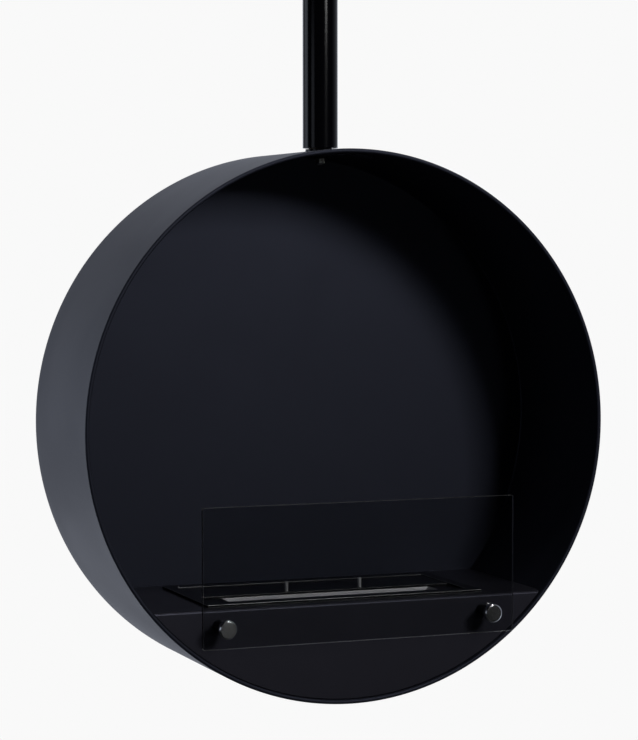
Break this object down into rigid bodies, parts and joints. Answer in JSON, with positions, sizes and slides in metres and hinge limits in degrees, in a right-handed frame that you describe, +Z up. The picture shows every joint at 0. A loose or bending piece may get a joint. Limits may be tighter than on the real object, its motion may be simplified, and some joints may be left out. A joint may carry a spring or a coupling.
{
  "type": "hanging fireplace",
  "caption": "Round open-fronted steel fireplace drum that turns on a ceiling pole, with a drop-in ethanol burner, a sliding lid and a glass screen on standoffs.",
  "frame": {"origin": "centre of the ceiling plate's top face, which lies against the ceiling", "axes": "+Z up towards the ceiling, the drum's open front faces -Y, +X to the right of a person facing the fire; the pole's axis is x = y = 0"},
  "size_m": [0.8, 0.3037, 1.5],
  "materials": {
    "drum_black": "fine satin powder coat",
    "tray_black": "fine satin powder coat",
    "pole_black": "semi-gloss paint",
    "burner_black": "heat-proof matt paint",
    "satin_steel": "satin stainless",
    "zinc_steel": "zinc plated",
    "plain_steel": "turned, plain",
    "bronze": "sintered bronze",
    "smoked_glass": "toughened, slightly smoked, polished edges",
    "gasket": "translucent silicone",
    "ceramic_wool": "felted mineral fibre"
  },
  "bodies": {
    "ceiling_mount": {"ceiling_plate": "pole_black", "ceiling_spigot": "plain_steel", "pole_tube": "pole_black", "pole_bolts": "zinc_steel", "pole_bolt_nuts": "zinc_steel", "saddle_washers": "zinc_steel", "pole_plug": "plain_steel", "swivel_bolt": "zinc_steel", "swivel_washer": "zinc_steel", "swivel_nut": "zinc_steel"},
    "canopy": {"canopy_cup": "pole_black", "canopy_collar": "pole_black", "canopy_screws": "zinc_steel"},
    "drum": {"shell_band": "drum_black", "back_panel": "drum_black", "hearth_tray": "tray_black", "shelf_cleat_left": "drum_black", "shelf_cleat_right": "drum_black", "top_saddle": "drum_black", "swivel_collar": "pole_black", "swivel_bush": "bronze", "upper_thrust_washer": "bronze", "lower_thrust_washer": "bronze", "glass_screen": "smoked_glass", "standoff_barrel_left": "burner_black", "standoff_barrel_right": "burner_black", "glass_cap_left": "satin_steel", "glass_cap_right": "satin_steel", "glass_gaskets": "gasket", "standoff_studs": "zinc_steel", "standoff_nuts": "zinc_steel"},
    "burner": {"burner_frame": "burner_black", "burner_box": "burner_black", "burner_deck": "burner_black", "fuel_trough": "satin_steel", "wool_pad": "ceramic_wool", "burner_mesh": "satin_steel"},
    "lid": {"burner_lid": "burner_black", "lid_pins": "satin_steel"}
  },
  "joints": [
    {"name": "drum_swivel", "type": "hinge", "parent": "ceiling_mount", "child": "drum", "pos_m": [0, 0, -0.7], "axis": [0, 0, 1], "continuous": true},
    {"name": "canopy_slide", "type": "slide", "parent": "ceiling_mount", "child": "canopy", "axis": [0, 0, 1], "range_m": [-0.3, 0]},
    {"name": "burner_lift", "type": "slide", "parent": "drum", "child": "burner", "axis": [0, 0, 1], "range_m": [0, 0.12]},
    {"name": "lid_slide", "type": "slide", "parent": "burner", "child": "lid", "axis": [0, -1, 0], "range_m": [0, 0.059]}
  ]
}
